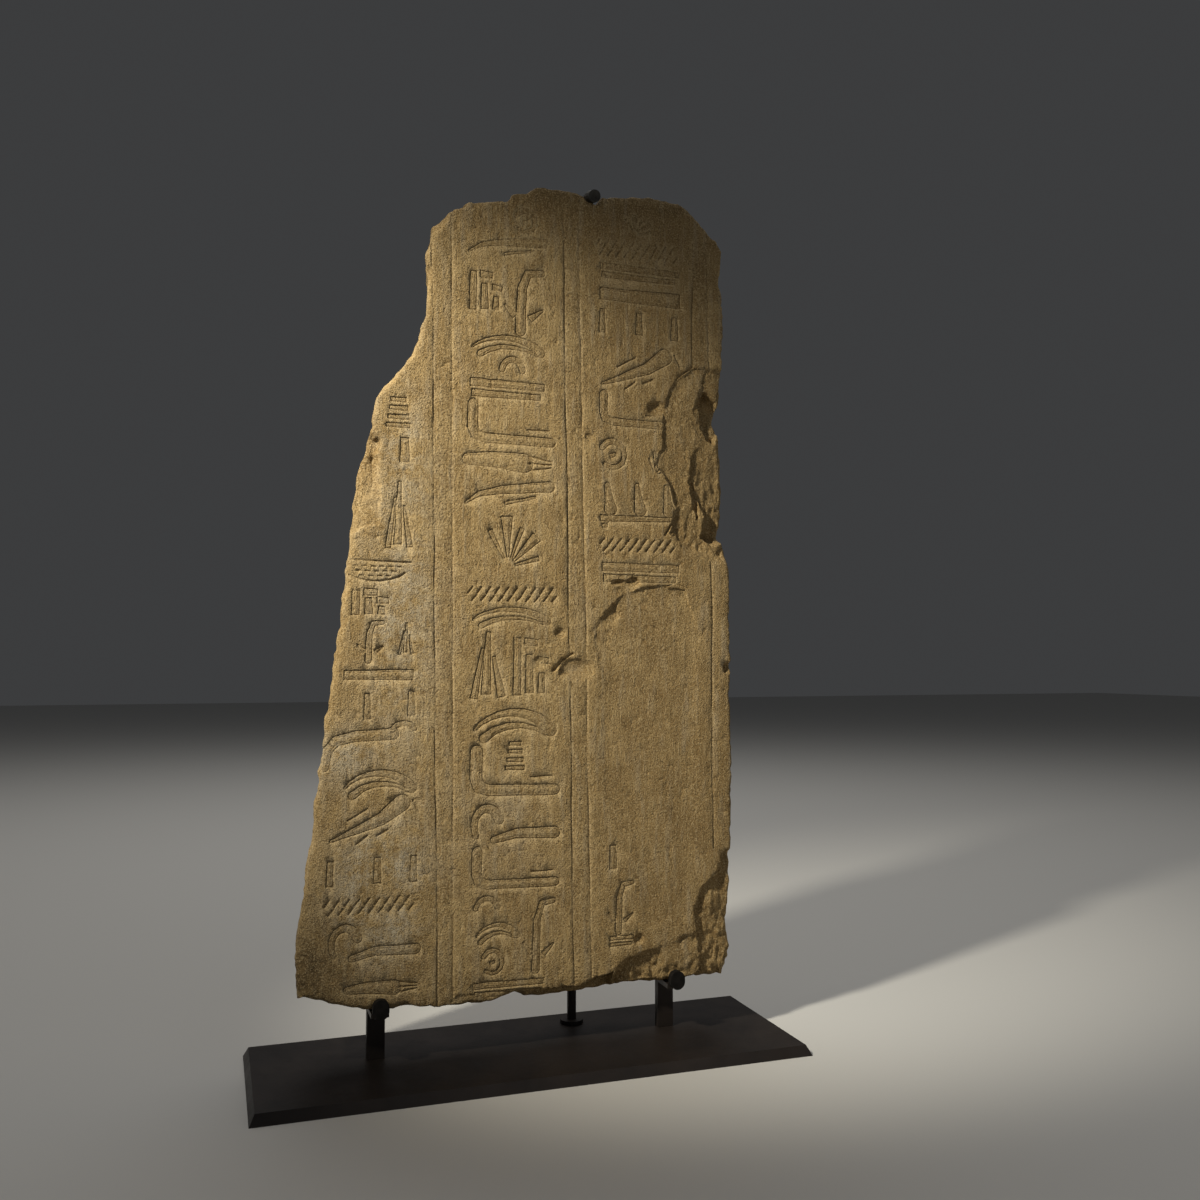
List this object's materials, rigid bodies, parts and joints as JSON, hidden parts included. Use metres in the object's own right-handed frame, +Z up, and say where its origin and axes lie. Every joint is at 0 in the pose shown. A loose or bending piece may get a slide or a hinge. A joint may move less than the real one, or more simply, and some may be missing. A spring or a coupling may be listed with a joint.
{
  "type": "carved limestone relief panel on a display stand",
  "caption": "Tall broken limestone slab with columns of shallow sunk carving between ruled lines, held upright on a flat dark steel stand by hooked posts and a top clip.",
  "frame": {"origin": "centre of the base plate's underside", "axes": "+Z up along the slab's height, +X to the right when facing the carved side, -Y out of the carved face"},
  "size_m": [0.66, 0.226, 1.0892],
  "materials": {
    "limestone": "matt, granular, weathered",
    "dark_steel": "dark brown-black satin",
    "dark_rubber": "matt",
    "grey_rubber": "satin"
  },
  "bodies": {
    "root": {"relief_slab": "limestone", "base_plate": "dark_steel", "left_hook_post": "dark_steel", "left_hook_sleeve": "dark_rubber", "right_hook_post": "dark_steel", "right_hook_sleeve": "dark_rubber", "back_upright": "dark_steel", "top_clip_sleeve": "grey_rubber"}
  },
  "joints": []
}
